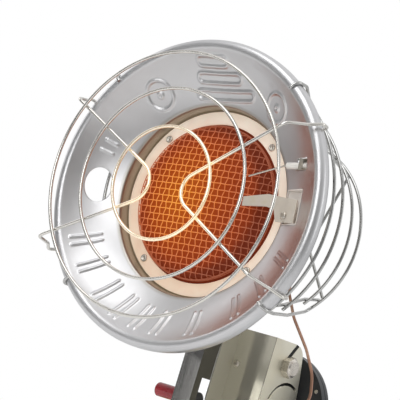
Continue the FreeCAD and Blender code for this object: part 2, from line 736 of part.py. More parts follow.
screws = [pan_screw(spot, num(strap_y + m), -1, 6.0) for spot in SCREW_SPOTS]
screws.append(pan_screw(WEB_SCREW, num(S.channel_front), 1, 14.0))
publish("pan_screws", fuse(*screws), "stand")

publish("side_bolt", fuse(hexagon("X", BOLT_AT, 11.0, S.channel_right, S.channel_right + 8.0),
                          cone("X", BOLT_AT, 9.0, 7.5, S.channel_right + 8.0,
                               S.channel_right + 10.0),
                          rod("X", BOLT_AT, 4.0, 42.0, S.channel_right),
                          hexagon("X", BOLT_AT, 8.0, S.channel_right - m - 6.0,
                                  S.channel_right - m)), "stand")

shelf = box(S.strap_left, 50.0, strap_y + m, 205.0, S.foot_level - 2.0, S.foot_level)
front_tab = box(S.strap_left, 7.2, strap_y + m, strap_y + m + 2.0, S.foot_level, -255.0)
rear_tab = box(12.0, 50.0, S.channel_front + m, S.channel_front + m + 2.0, S.foot_level, -255.0)
hook_front = box(-10.0, 30.0, 189.0, 191.0, -311.0, S.foot_level - 2.0)
hook_rear = box(-10.0, 30.0, 203.0, 205.0, -311.0, S.foot_level - 2.0)
CLAMP_AT = (10.0, -300.0)
clamp_boss = rod("Y", CLAMP_AT, 6.0, 205.0, 210.0)
tie_cuts = [rod("Y", (-2.0, TIE_LEVEL), 2.1, 90.0, 110.0),
            rod("Y", (31.0, TIE_LEVEL), 2.1, 148.0, 160.0),
            rod("Y", CLAMP_AT, S.run_gap + 3.0, 200.0, 212.0)]
publish("base_tie", cut(fuse(shelf, front_tab, rear_tab, hook_front, hook_rear, clamp_boss),
                        *tie_cuts), "stand")

bolts = []
for spot, face, back in (((-2.0, TIE_LEVEL), num(strap_y), num(strap_y + m) + 2.0),
                         ((31.0, TIE_LEVEL), num(S.channel_front),
                          num(S.channel_front + m) + 2.0)):
    bolts.append(fuse(hexagon("Y", spot, 4.0, face - 2.8, face),
                      rod("Y", spot, 2.0, face, back + 5.0)))
    bolts.append(cut(hexagon("Y", spot, 4.0, back, back + 3.2),
                     rod("Y", spot, 2.0, back - 1.0, back + 4.0)))
publish("tie_bolts", fuse(bolts[0], bolts[2]), "stand")
publish("tie_nuts", fuse(bolts[1], bolts[3]), "stand")

wings = fuse(box(-2.0, 22.0, 219.0, 222.0, -306.0, -294.0), rod("Y", CLAMP_AT, 5.0, 216.0, 225.0))
publish("clamp_screw", fuse(rod("Y", CLAMP_AT, 3.0, 196.0, 217.0), wings), "stand")

# ------------------------------------------------------- mixing tube, injector and valve

tube_points = [(S.tube_foot_x, S.tube_y, -158.0), (S.tube_foot_x, S.tube_y, -150.0),
               (TUBE_TOP[0], num(S.tube_y), TUBE_TOP[1]), (TUBE_TOP[0], 92.0, TUBE_TOP[1])]
tube_outer = bent(tube_points, [20.0, 20.0], S.tube_r)
tube_inner = bent(tube_points, [20.0, 20.0], S.tube_r - t)
publish("mixing_tube", cut(tube_outer, tube_inner), "stand")

injector_at = (S.tube_foot_x, S.tube_y)
publish("injector", fuse(hexagon("Z", injector_at, 8.5, -199.0, -185.0),
                         cone("Z", injector_at, 7.0, 4.5, -185.0, -166.0),
                         rod("Z", injector_at, 3.0, -166.0, -150.0)), "stand")

inlet_x = -2.0
body_parts = [rod("X", valve_at, S.valve_r, -52.0, 8.0),
              rod("Z", injector_at, 7.0, S.valve_level, -199.0),
              rod("Y", (inlet_x, S.valve_level), 5.5, S.tube_y, 156.0)]
PLUNGER_R = 3.1
plunger_bore = rod("X", valve_at, PLUNGER_R + 0.05, -60.0, -22.0)
publish("valve_body", cut(fuse(*body_parts), plunger_bore), "stand")
publish("valve_plunger", fuse(rod("X", valve_at, PLUNGER_R, -66.0, -30.0),
                              cone("X", valve_at, 8.0, 9.0, -74.0, -66.0)), "stand")
publish("valve_spring", fuse(coil("X", valve_at, 5.5, 0.6, -65.0, -52.7, 5)), "stand")
publish("magnet_unit", fuse(rod("X", valve_at, 9.5, 8.0, 22.0),
                            hexagon("X", valve_at, 9.5, 22.0, 27.0)), "stand")
publish("thermocouple_nut", fuse(hexagon("X", valve_at, 6.5, 27.0, 34.0),
                                 cone("X", valve_at, 4.5, 3.0, 34.0, 38.0)), "stand")

pipe_points = [(inlet_x, 156.0, S.valve_level), (inlet_x, S.pipe_y, S.valve_level),
               (inlet_x, S.pipe_y, -190.0)]
publish("gas_pipe", bent(pipe_points, 10.0, S.pipe_r), "stand")
nut_low = cut(hexagon("Y", (inlet_x, S.valve_level), 8.0, 156.0, 168.0),
              rod("Y", (inlet_x, S.valve_level), S.pipe_r, 150.0, 170.0))
nut_high = cut(hexagon("Z", (inlet_x, S.pipe_y), 8.0, -201.0, -190.0),
               rod("Z", (inlet_x, S.pipe_y), S.pipe_r, -205.0, -185.0))
publish("flare_nuts", fuse(nut_low, nut_high), "stand")

# ------------------------------------------------------- igniter button

publish("piezo_igniter", cut(rod("X", button_at, 8.6, -10.0, 7.0),
                             rod("X", button_at, S.button_r + S.run_gap, -12.0, 1.0)), "stand")
publish("red_button", fuse(rod("X", button_at, S.button_r, -42.4, -6.0),
                           cone("X", button_at, S.button_r - 1.2, S.button_r, -43.6, -42.4)),
        "stand")

# ------------------------------------------------------- regulator and tank connection

reg_at = (S.reg_x, S.reg_level)
mid = S.reg_mid
BOLT_CIRCLE = 52.5
flange_spots = [polar(BOLT_CIRCLE, 60.0 * k + 30.0, (num(S.reg_x), num(S.reg_level)))
                for k in range(6)]


def screw_holes(radius):
    return [rod("Y", spot, radius, 215.0, 245.0) for spot in flange_spots]


reg_body = fuse(rod("Y", reg_at, S.reg_body_r, 200.0, mid - 7.0),
                rod("Y", reg_at, S.reg_flange_r, mid - 7.0, mid),
                rod("Z", (inlet_x, S.pipe_y), 8.0, -190.0, -160.0),
                rod("Z", (S.inlet_x, S.pipe_y), 7.0, -215.0, -180.0),
                rod("Y", WEB_SCREW, 6.0, S.channel_front + m, mid - 6.0))
reg_room = [rod("Y", reg_at, 46.0, mid - 4.0, mid + 1.0), rod("Y", WEB_SCREW, 2.05, 150.0, 175.0)]
publish("regulator_body", cut(reg_body, *(reg_room + screw_holes(2.1))), "stand")
publish("regulator_diaphragm", cut(rod("Y", reg_at, S.reg_flange_r - 0.5, mid, mid + 0.8),
                                   *screw_holes(2.1)), "stand")
bonnet = fuse(rod("Y", reg_at, S.reg_flange_r, mid + 0.8, mid + 7.0),
              cone("Y", reg_at, 40.0, 22.0, mid + 7.0, mid + 29.0),
              rod("Y", reg_at, 9.0, mid + 29.0, mid + 43.0))
bonnet_room = cone("Y", reg_at, 42.0, 18.0, mid + 0.8, mid + 26.0)
bonnet_room_safe = common(bonnet_room, rod("Y", reg_at, 30.0, mid, mid + 27.0))
publish("regulator_bonnet", cut(bonnet, bonnet_room_safe, *screw_holes(2.1)), "stand")
publish("regulator_spring", fuse(coil("Y", reg_at, 10.0, 1.2, mid + 2.1, mid + 24.7, 5)),
        "stand")
reg_screws = []
for spot in flange_spots:
    reg_screws.append(fuse(hexagon("Y", spot, 3.9, mid + 7.0, mid + 10.0),
                           rod("Y", spot, 2.0, mid - 7.6, mid + 7.0)))
publish("regulator_screws", fuse(*reg_screws), "stand")
knob_face = mid + 29.3
knob_grips = [rod("Y", polar(26.0, 30.0 * k, (num(S.reg_x), num(S.reg_level))), 3.2,
                  knob_face - 1.0, knob_face + 21.0) for k in range(12)]
publish("regulator_knob", cut(rod("Y", reg_at, S.knob_r, knob_face, knob_face + 19.7),
                              rod("Y", reg_at, S.run_gap + 9.0, knob_face - 1.0,
                                  knob_face + 14.3), *knob_grips), "stand")

inlet_at = (S.inlet_x, S.inlet_level)
end = S.inlet_end
elbow = fuse(rod("Z", (S.inlet_x, S.pipe_y), 10.0, S.inlet_level - 10.0, -216.0),
             rod("Y", inlet_at, 10.0, S.pipe_y, 228.0))
publish("inlet_elbow", cut(elbow, rod("Z", (S.inlet_x, S.pipe_y), 6.0, -241.0, -200.0),
                           rod("Y", inlet_at, S.nipple_r, 218.0, 230.0)), "stand")
publish("tank_nipple", cut(fuse(rod("Y", inlet_at, S.nipple_r, 218.0, end - 14.0),
                                rod("Y", inlet_at, S.nose_r, end - 14.0, end)),
                           rod("Y", inlet_at, 2.5, 217.0, end + 1.0)), "stand")
NECK_R = 8.5
publish("tank_nut", cut(fuse(rod("Y", inlet_at, NECK_R, 236.0, end - 28.0),
                             rod("Y", inlet_at, S.nut_thread_r, end - 28.0, end - 14.3)),
                        rod("Y", inlet_at, S.nipple_r + S.run_gap, 230.0, end)), "stand")
wheel_mid = 250.0
spokes = []
for k in range(3):
    spoke = box(-3.0, 3.0, -2.5, 2.5, 10.0, 24.0)
    spin = FreeCAD.Rotation(V(0, 1, 0), 120.0 * k)
    base = FreeCAD.Placement(V(num(S.inlet_x), wheel_mid, num(S.inlet_level)), spin)
    spoke.Placement = base.multiply(FreeCAD.Placement(V(-3.0, -2.5, 10.0), FreeCAD.Rotation()))
    spokes.append(spoke)
wheel = fuse(hoop((S.inlet_x, wheel_mid, S.inlet_level), 24.0, 4.0, axis="Y"),
             rod("Y", inlet_at, 13.0, 244.0, 256.0), *spokes)
publish("hand_wheel", cut(wheel, rod("Y", inlet_at, NECK_R, 240.0, 260.0)), "stand")

# ------------------------------------------------------------------- the two leads

sensor_end = to_stand(SENSOR[0], SENSOR[1], -45.0)
copper_route = [sensor_end, (sensor_end[0], 56.0, sensor_end[2]), (76.0, 112.0, -58.0),
                (68.5, 146.0, -79.0), (73.5, 177.0, -104.0), (79.5, 192.0, -126.0),
                (85.0, 191.0, -146.0), (84.0, 184.0, -176.0), (66.0, 150.0, -211.0),
                (50.0, 138.0, S.valve_level), (38.0, 138.0, S.valve_level)]
publish("thermocouple_lead", bent(copper_route, [8, 30, 30, 30, 25, 25, 20, 16, 10],
                                  S.lead_r), "stand")

ignition_end = to_stand(*electrode_path[0])
piezo_top = num(S.button_level) + 8.6
ignition_route = [(-3.0, 119.0, piezo_top), (-3.0, 119.0, -160.0), (-3.0, 114.0, -140.0),
                  (-3.0, 114.0, -71.0), (45.0, 114.0, -66.0), (88.0, 108.0, -12.0),
                  (106.0, 78.0, 38.0), (121.5, 42.0, 52.0),
                  (ignition_end[0] + 9.0, 27.0, ignition_end[2] + 1.0), ignition_end]
publish("ignition_lead", bent(ignition_route, [10, 10, 8, 16, 20, 20, 10, 5], S.ignition_r),
        "stand")

# ------------------------------------------------------------------- check and write

DOC.recompute()
problems = []
for thing in DOC.Objects:
    if "Invalid" in thing.State or "Error" in thing.State:
        problems.append("%s (%s): %s" % (thing.Name, thing.Label, thing.State))
for name, thing in PUBLISHED:
    shape = thing.Shape
    if shape.isNull() or not shape.isValid():
        problems.append("%s has no valid shape" % name)
    elif not shape.Solids:
        problems.append("%s has no solid" % name)
if problems:
    raise RuntimeError("; ".join(problems))

os.makedirs("parts", exist_ok=True)
for name, thing in PUBLISHED:
    thing.Shape.exportStep("parts/%s.step" % name)
    b = thing.Shape.BoundBox
    print("%-22s %d solid(s) %9.1f mm3  x %.1f..%.1f y %.1f..%.1f z %.1f..%.1f" % (
        name, len(thing.Shape.Solids), thing.Shape.Volume, b.XMin, b.XMax, b.YMin, b.YMax,
        b.ZMin, b.ZMax))
print("cord radii mm: thermocouple_lead %.2f, ignition_lead %.2f" % (
    num(S.lead_r), num(S.ignition_r)))
print("%d nodes written" % len(PUBLISHED))
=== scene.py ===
# Tank-top radiant heater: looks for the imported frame, in metres, on the same axes.
import json
import math

import bmesh
import bpy
import numpy as np
from mathutils import Matrix, Vector

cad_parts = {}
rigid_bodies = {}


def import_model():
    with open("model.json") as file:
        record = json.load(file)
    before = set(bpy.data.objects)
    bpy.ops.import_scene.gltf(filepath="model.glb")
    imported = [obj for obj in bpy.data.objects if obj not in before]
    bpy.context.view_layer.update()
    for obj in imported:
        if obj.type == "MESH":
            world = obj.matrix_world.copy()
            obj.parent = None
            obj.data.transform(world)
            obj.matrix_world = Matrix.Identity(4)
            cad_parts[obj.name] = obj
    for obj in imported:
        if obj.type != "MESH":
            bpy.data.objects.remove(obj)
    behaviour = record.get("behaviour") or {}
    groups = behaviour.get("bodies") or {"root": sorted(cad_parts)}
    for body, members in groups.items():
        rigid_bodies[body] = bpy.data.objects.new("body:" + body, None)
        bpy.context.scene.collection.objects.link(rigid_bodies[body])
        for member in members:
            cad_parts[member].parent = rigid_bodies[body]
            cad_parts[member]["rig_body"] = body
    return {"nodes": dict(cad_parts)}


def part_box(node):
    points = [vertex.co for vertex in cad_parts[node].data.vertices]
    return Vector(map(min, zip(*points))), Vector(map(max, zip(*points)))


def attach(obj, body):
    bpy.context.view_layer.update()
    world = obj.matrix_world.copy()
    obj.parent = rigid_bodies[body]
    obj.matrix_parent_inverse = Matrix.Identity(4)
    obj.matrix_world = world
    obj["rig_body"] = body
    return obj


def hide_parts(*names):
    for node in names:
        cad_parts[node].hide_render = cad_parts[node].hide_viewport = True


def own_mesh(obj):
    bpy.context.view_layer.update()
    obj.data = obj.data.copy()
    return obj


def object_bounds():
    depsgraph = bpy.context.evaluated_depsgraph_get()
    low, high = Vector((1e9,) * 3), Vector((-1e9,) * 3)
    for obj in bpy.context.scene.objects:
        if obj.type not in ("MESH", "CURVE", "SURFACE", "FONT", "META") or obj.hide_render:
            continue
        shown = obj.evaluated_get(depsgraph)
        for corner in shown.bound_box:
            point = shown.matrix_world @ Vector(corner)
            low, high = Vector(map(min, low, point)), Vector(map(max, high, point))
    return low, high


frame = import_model()
cad_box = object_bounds()
nodes = frame["nodes"]
MM = 0.001
# how a distance weighs the three axes: along X only, from the head's axis, or all alike
ALONG_X = (1.0, 0.0, 0.0)
FROM_AXIS = (1.0, 0.0, 1.0)
EVENLY = (1.0, 1.0, 1.0)

# ------------------------------------------------------------- the head's own axes

flange_low, flange_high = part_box("burner_flange")
HEAD_X = (flange_low.x + flange_high.x) / 2.0
HEAD_Z = (flange_low.z + flange_high.z) / 2.0
RIM_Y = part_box("reflector")[0].y
# the head sits turned a little on its stand
ROLL = math.radians(6.2)
COS, SIN = math.cos(ROLL), math.sin(ROLL)


def head(a, b, c):
    """A point of the head, in millimetres: a right, b up, c towards the front."""
    return Vector((HEAD_X + (a * COS - b * SIN) * MM, RIM_Y - c * MM,
                   HEAD_Z + (a * SIN + b * COS) * MM))


def head_array(a, b, c):
    """The same for arrays of points."""
    return np.stack([HEAD_X + (a * COS - b * SIN) * MM, RIM_Y - c * MM,
                     HEAD_Z + (a * SIN + b * COS) * MM], axis=-1)


# ------------------------------------------------------------- material helpers


class Look:
    """A node material built step by step around one Principled shader."""

    def __init__(self, name):
        self.material = bpy.data.materials.new(name)
        self.material.use_nodes = True
        self.tree = self.material.node_tree
        self.shader = self.tree.nodes["Principled BSDF"]
        self.where = self.tree.nodes.new("ShaderNodeTexCoord").outputs["Object"]

    def node(self, kind, links=(), values=(), **settings):
        """A new node, with its settings, its fixed inputs and what feeds it."""
        n = self.tree.nodes.new(kind)
        for key, value in settings.items():
            setattr(n, key, value)
        for key, value in dict(values).items():
            n.inputs[key].default_value = value
        for key, source in dict(links).items():
            self.tree.links.new(source, n.inputs[key])
        return n

    def stretched(self, scale):
        """Object coordinates scaled unevenly, for brushed sheet."""
        m = self.node("ShaderNodeMapping", {"Vector": self.where}, {"Scale": scale})
        return m.outputs["Vector"]

    def noise(self, scale, detail=3.0, rough=0.55, vector=None):
        n = self.node("ShaderNodeTexNoise", {"Vector": vector or self.where},
                      {"Scale": scale, "Detail": detail, "Roughness": rough})
        return n.outputs["Fac"]

    def ramp(self, source, stops):
        """Colours by value: stops holds (value, colour)."""
        n = self.node("ShaderNodeValToRGB", {"Fac": source})
        r = n.color_ramp
        while len(r.elements) < len(stops):
            r.elements.new(0.5)
        for e, (at, colour) in zip(r.elements, stops):
            e.position = at
            e.color = tuple(colour) + (1.0,)
        return n.outputs["Color"]

    def span(self, source, low, high, from_low=0.0, from_high=1.0):
        """The source carried from one range to another, held at both ends."""
        n = self.node("ShaderNodeMapRange", {"Value": source},
                      {"From Min": from_low, "From Max": from_high,
                       "To Min": low, "To Max": high})
        return n.outputs["Result"]

    def mix(self, factor, a, b):
        """Colour a where the factor is 0 and colour b where it is 1."""
        n = self.node("ShaderNodeMix", data_type="RGBA")
        for index, value in ((0, factor), (6, a), (7, b)):
            if hasattr(value, "is_output"):
                self.tree.links.new(value, n.inputs[index])
            else:
                n.inputs[index].default_value = tuple(value) + (1.0,)
        return n.outputs[2]

    def math(self, operation, a, b):
        n = self.node("ShaderNodeMath", operation=operation)
        for index, value in enumerate((a, b)):
            if hasattr(value, "is_output"):
                self.tree.links.new(value, n.inputs[index])
            else:
                n.inputs[index].default_value = value
        return n.outputs[0]

    def distance(self, point, squeeze):
        """Distance in metres from the point, with each axis weighed by squeeze."""
        d = self.node("ShaderNodeVectorMath", {0: self.where}, operation="SUBTRACT")
        d.inputs[1].default_value = point
        s = self.node("ShaderNodeVectorMath", {0: d.outputs[0]}, operation="MULTIPLY")
        s.inputs[1].default_value = squeeze
        return self.node("ShaderNodeVectorMath", {0: s.outputs[0]},
                         operation="LENGTH").outputs["Value"]

    def fed(self, socket):
        """What feeds one of the shader's sockets so far."""
        return self.shader.inputs[socket].links[0].from_socket

    def plug(self, socket, source):
        """Feed a socket of the shader with a node's output or a fixed value."""
        if hasattr(source, "is_output"):
            self.tree.links.new(source, self.shader.inputs[socket])
        else:
            if isinstance(source, tuple) and len(source) == 3:
                source = source + (1.0,)
            self.shader.inputs[socket].default_value = source

    def bump(self, height, distance, strength):
        n = self.node("ShaderNodeBump", {"Height": height},
                      {"Strength": strength, "Distance": distance})
        self.plug("Normal", n.outputs["Normal"])


def shade(colour, factor):
    """A colour made lighter or darker."""
    return tuple(min(1.0, c * factor) for c in colour)


# how much of a metal's uneven polish is its fine grain, and how much is wear
GRAIN_SHARE = 0.6
WORN_SHARE = 0.4


def metal(name, colour, rough, vary=0.1, blotch=22.0, grain=900.0, depth=0.00003,
          brushed=None, tint=None, spread=0.08, metallic=1.0):
    """Metal with uneven tone, uneven polish and a fine grain, brushed along one axis.

    vary is how far the tone wanders and spread how far the polish does; blotch and
    grain are noise scales, and depth is the grain's height in metres.
    """
    look = Look(name)
    cloud = look.noise(blotch, 4.0)
    second = tint or shade(colour, 1.0 + vary)
    look.plug("Base Color", look.ramp(cloud, [(0.32, shade(colour, 1.0 - vary)),
                                              (0.5, colour), (0.7, second)]))
    vector = look.stretched(brushed) if brushed else None
    fine = look.noise(grain, 5.0, 0.6, vector)
    worn = look.noise(blotch * 3.1, 3.0)
    blend = look.math("ADD", look.math("MULTIPLY", fine, GRAIN_SHARE),
                      look.math("MULTIPLY", worn, WORN_SHARE))
    look.plug("Roughness", look.span(blend, rough - spread, rough + spread, 0.3, 0.7))
    look.plug("Metallic", metallic)
    look.bump(fine, depth, 0.5)
    return look


def moulded(name, colour, rough, grain=1400.0, depth=0.00004, coat=0.0):
    """Moulded plastic or rubber with a faint texture and handling marks."""
    look = Look(name)
    cloud = look.noise(45.0, 4.0)
    look.plug("Base Color", look.ramp(cloud, [(0.3, shade(colour, 0.82)),
                                              (0.7, shade(colour, 1.15))]))
    fine = look.noise(grain, 3.0)
    look.plug("Roughness", look.span(look.noise(70.0, 4.0), rough - 0.06, rough + 0.08, 0.3, 0.7))
    look.plug("Coat Weight", coat)
    look.plug("Coat Roughness", 0.12)
    look.bump(fine, depth, 0.4)
    return look


# ------------------------------------------------------------- the materials

# colours are linear, and the distances that a finish fades over are in metres
HEAD_CENTRE = head(0.0, 0.0, 0.0)
dish_look = metal("dish_satin", (0.62, 0.62, 0.63), 0.36, 0.05, 14.0, 700.0, 0.00002, spread=0.05)
# painted shade: the wall of the well around the burner is coloured dark and brownish, as the shade
# that falls in its recess
well = dish_look.span(dish_look.distance(HEAD_CENTRE, FROM_AXIS), 1.0, 0.0, 0.0945, 0.0985)
dish_look.plug("Base Color", dish_look.mix(well, dish_look.fed("Base Color"),
                                           (0.38, 0.35, 0.30)))

# the cream ring is warmest where it is nearest the hot spot
flange_look = Look("burner_ring")
heat = flange_look.noise(30.0, 4.0)
near_heat = flange_look.distance(head(-10.0, -10.0, -45.0), EVENLY)
flange_look.plug("Base Color", flange_look.mix(
    flange_look.span(near_heat, 0.0, 1.0, 0.075, 0.094),
    flange_look.ramp(heat, [(0.3, (0.74, 0.55, 0.44)), (0.7, (0.82, 0.66, 0.55))]),
    flange_look.ramp(heat, [(0.3, (0.80, 0.71, 0.65)), (0.7, (0.86, 0.79, 0.74))])))
flange_look.plug("Roughness", flange_look.span(heat, 0.36, 0.5, 0.3, 0.7))
flange_look.plug("Metallic", 0.1)
# painted glow: the ring is given a faint warm emission of its own, though it is no lamp, to make
# it lighter and warmer
flange_look.plug("Emission Color", flange_look.ramp(flange_look.noise(60.0), [
    (0.3, (0.22, 0.165, 0.10)), (0.7, (0.28, 0.22, 0.145))]))
flange_look.plug("Emission Strength", 1.0)
flange_look.bump(flange_look.noise(800.0, 4.0), 0.00003, 0.4)

# the rear cage is plain chrome
wire_look = metal("chrome_wire", (0.52, 0.52, 0.51), 0.17, 0.08, 60.0, 500.0, 0.00003, spread=0.06)

# the front guard picks up the screen's light, most of all in front of it
guard_look = metal("guard_wire", (0.72, 0.70, 0.66), 0.2, 0.08, 60.0, 500.0, 0.00003, spread=0.06)
warm = guard_look.span(guard_look.distance(head(12.0, -6.0, 0.0), FROM_AXIS), 1.0, 0.0,
                       0.045, 0.082)
guard_look.plug("Emission Color", guard_look.mix(warm, (0.0, 0.0, 0.0), (0.62, 0.42, 0.16)))
guard_look.plug("Emission Strength", 0.8)

steel_look = metal("cup_steel", (0.50, 0.49, 0.47), 0.34, 0.14, 18.0, 500.0, 0.00004,
                   tint=(0.50, 0.45, 0.36))
rivet_look = metal("rivet_steel", (0.62, 0.58, 0.52), 0.3, 0.15, 120.0, 1200.0)

# the stand's plated sheets, brushed upright
UPRIGHT = (1.0, 1.0, 0.05)
plated_look = metal("plated_sheet", (0.80, 0.79, 0.73), 0.10, 0.07, 9.0, 260.0, 0.00008,
                    brushed=UPRIGHT, tint=(0.82, 0.79, 0.66), spread=0.04)
strap_look = metal("strap_sheet", (0.27, 0.265, 0.255), 0.13, 0.07, 9.0, 260.0, 0.00008,
                   brushed=UPRIGHT, tint=(0.31, 0.295, 0.27), spread=0.05)
channel_look = metal("channel_sheet", (0.80, 0.77, 0.65), 0.13, 0.07, 9.0, 260.0, 0.00008,
                     brushed=UPRIGHT, tint=(0.80, 0.76, 0.60), spread=0.04, metallic=0.72)

# the outer face of the side plate is duller, and the floor of its slot lies in shade
SLOT_DEPTH = 0.0009
outer_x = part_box("stand_channel")[1][0]
outer_face = channel_look.span(
    channel_look.distance((outer_x, 0.0, 0.0), ALONG_X), 1.0, 0.0, 0.0001, 0.0003)
slot_floor = channel_look.span(
    channel_look.distance((outer_x - SLOT_DEPTH, 0.0, 0.0), ALONG_X), 1.0, 0.0, 0.00008, 0.00016)
channel_look.plug("Roughness", channel_look.math(
    "ADD", channel_look.fed("Roughness"), channel_look.math("MULTIPLY", outer_face, 0.26)))
channel_look.plug("Base Color", channel_look.mix(
    slot_floor, channel_look.fed("Base Color"), (0.02, 0.02, 0.018)))

saddle_look = metal("saddle_sheet", (0.84, 0.79, 0.74), 0.42, 0.06, 40.0, 900.0,
                    tint=(0.88, 0.84, 0.80), metallic=0.15)
bolt_look = metal("plated_bolt", (0.66, 0.62, 0.56), 0.28, 0.16, 90.0, 1200.0)
brass_look = metal("brass", (0.70, 0.50, 0.22), 0.26, 0.12, 50.0, 700.0, 0.00003)
copper_look = metal("copper_lead", (0.42, 0.24, 0.17), 0.34, 0.22, 40.0, 900.0, 0.00004,
                    tint=(0.52, 0.34, 0.25))
spring_look = metal("spring_wire", (0.42, 0.42, 0.42), 0.3, 0.1, 200.0, 1500.0)
sensor_look = metal("sensor_sheet", (0.72, 0.66, 0.58), 0.42, 0.08, 40.0, 900.0,
                    tint=(0.66, 0.60, 0.44), metallic=0.7)
regulator_look = metal("regulator_coat", (0.035, 0.037, 0.04), 0.34, 0.2, 30.0, 1100.0,
                       0.00006, metallic=0.35)
red_look = moulded("red_plastic", (0.36, 0.012, 0.022), 0.24, coat=0.5)
black_look = moulded("black_plastic", (0.022, 0.022, 0.024), 0.42)
rubber_look = moulded("rubber", (0.02, 0.02, 0.02), 0.62, 700.0, 0.00008)
ceramic_look = moulded("ceramic", (0.86, 0.83, 0.78), 0.2, 300.0, 0.00003, coat=0.6)

# the hot screen: brightest left of the centre, dark red at its edge
HOT_SPOT = head(-24.0, 2.0, -32.0)


def glow(look, stops, noise_scale, noise_depth):
    """Emission that fades from the hot spot to the screen's edge, and how cool each place is."""
    fall = look.span(look.distance(HOT_SPOT, (1.0, 1.0, 0.9)), 0.0, 1.0, 0.0, 0.1)
    rim_fall = look.span(look.distance(HEAD_CENTRE, FROM_AXIS), 0.0, 0.35, 0.058, 0.078)
    cool = look.math("ADD", look.math("ADD", fall, rim_fall),
                     look.span(look.noise(noise_scale, 4.0), -noise_depth, noise_depth))
    look.plug("Emission Color", look.ramp(cool, stops))
    look.plug("Emission Strength", 1.0)
    return cool


hot_core = Look("emitter_core")
cool = glow(hot_core, [(0.0, (0.42, 0.085, 0.002)), (0.25, (0.34, 0.052, 0.002)),
                       (0.5, (0.27, 0.034, 0.002)), (0.75, (0.21, 0.025, 0.003)),
                       (1.0, (0.11, 0.013, 0.003))], 110.0, 0.1)
hot_core.plug("Base Color", hot_core.ramp(hot_core.noise(300.0), [
    (0.3, (0.03, 0.010, 0.006)), (0.7, (0.05, 0.015, 0.010))]))
hot_core.plug("Roughness", hot_core.span(cool, 0.7, 0.85))
hot_core.plug("Specular IOR Level", 0.15)
hot_core.bump(hot_core.noise(900.0, 3.0), 0.0003, 0.6)

hot_wire = Look("emitter_wire")
cool = glow(hot_wire, [(0.0, (0.86, 0.34, 0.030)), (0.25, (0.70, 0.22, 0.025)),
                       (0.5, (0.54, 0.135, 0.025)), (0.75, (0.42, 0.090, 0.025)),
                       (1.0, (0.20, 0.040, 0.015))], 170.0, 0.12)
hot_wire.plug("Base Color", hot_wire.ramp(hot_wire.noise(260.0), [
    (0.3, (0.14, 0.06, 0.04)), (0.7, (0.24, 0.11, 0.07))]))
hot_wire.plug("Roughness", hot_wire.span(cool, 0.45, 0.6))
hot_wire.plug("Metallic", 0.3)
hot_wire.bump(hot_wire.noise(1500.0, 2.0), 0.0001, 0.4)

# ------------------------------------------------------------- mesh helpers


def make_object(name, mesh, look, smooth=True):
    """A mesh in the scene with its one material."""
    obj = bpy.data.objects.new(name, mesh)
    bpy.context.scene.collection.objects.link(obj)
    mesh.materials.clear()
    mesh.materials.append(look.material)
    if smooth:
        mesh.polygons.foreach_set("use_smooth", [True] * len(mesh.polygons))
    return obj


def from_arrays(name, points, faces, look):
    """A mesh from points in metres and faces as point numbers."""
    mesh = bpy.data.meshes.new(name)
    mesh.from_pydata([tuple(p) for p in points], [], faces)
    mesh.validate()
    return make_object(name, mesh, look)


def tubes(name, lines, radius, look, sides=6, closed=False):
    """Round wires along the given lines of points, as one mesh."""
    points, faces = [], []
    for line in lines:
        line = np.asarray(line, float)
        count = len(line)
        if closed:
            step = np.roll(line, -1, 0) - np.roll(line, 1, 0)
        else:
            step = np.gradient(line, axis=0)
        step /= np.linalg.norm(step, axis=1)[:, None]
        side = np.cross(step, np.array([0.0, 1.0, 0.0]))
        along_y = np.linalg.norm(side, axis=1) < 0.2
        side[along_y] = np.cross(step[along_y], np.array([1.0, 0.0, 0.0]))
        side /= np.linalg.norm(side, axis=1)[:, None]
        other = np.cross(side, step)
        start = len(points)
        for i in range(count):
            for k in range(sides):
                t = 2.0 * math.pi * k / sides
                points.append(line[i] + radius * (math.cos(t) * side[i] + math.sin(t) * other[i]))
        last = count if closed else count - 1
        for i in range(last):
            j = (i + 1) % count
            for k in range(sides):
                n = (k + 1) % sides
                faces.append((start + i * sides + k, start + j * sides + k,
                              start + j * sides + n, start + i * sides + n))
        if not closed:
            faces.append([start + k for k in range(sides)])
            faces.append([start + (count - 1) * sides + k for k in reversed(range(sides))])
    return from_arrays(name, points, faces, look)


# edges sharper than this many degrees are rounded, and faces nearly in one plane are joined
SHARP = 28.0
NEARLY_FLAT = 0.6
SAME_POINT = 2e-6


def refined(node, look, width):
    """A CAD node's own shape with its edges rounded by width mm, standing for that node."""
    source = nodes[node]
    bm = bmesh.new()
    bm.from_mesh(source.data)
    bmesh.ops.remove_doubles(bm, verts=bm.verts, dist=SAME_POINT)
    bmesh.ops.dissolve_limit(bm, angle_limit=math.radians(NEARLY_FLAT), verts=bm.verts,
                             edges=bm.edges)
    bmesh.ops.recalc_face_normals(bm, faces=bm.faces)
    mesh = bpy.data.meshes.new(node + "_form")
    bm.to_mesh(mesh)
    bm.free()
    obj = make_object(node + "_form", mesh, look)
    mod = obj.modifiers.new("edges", "BEVEL")
    mod.width = width * MM
    mod.segments = 2
    mod.limit_method = "ANGLE"
    mod.angle_limit = math.radians(SHARP)
    mod.use_clamp_overlap = True
    even = obj.modifiers.new("normals", "WEIGHTED_NORMAL")
    even.weight = 100
    even.keep_sharp = True
    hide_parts(node)
    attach(obj, source["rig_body"])


def dressed(node, look):
    """A CAD node kept as it is, with its finish."""
    data = nodes[node].data
    data.materials.clear()
    data.materials.append(look.material)
    for polygon in data.polygons:
        polygon.material_index = 0


# ------------------------------------------------------------- the dish

# the dish's section in millimetres: radius from the head's axis, depth from the rim's plane
RIM = 152.4
BEAD = 6.0
BEAD_START = 42.6
JOIN = (RIM - BEAD - 0.736 * BEAD, 0.677 * BEAD - BEAD)
WELL = (94.5, -34.0)
SEAT = (93.0, -47.0)
# how far the bowl bellies out behind a straight line, and which way
BELLY = 3.4
OUTWARD = (0.56, -0.829)
BOWL_STEPS = 56
BEAD_STEPS = 14
AROUND = 900

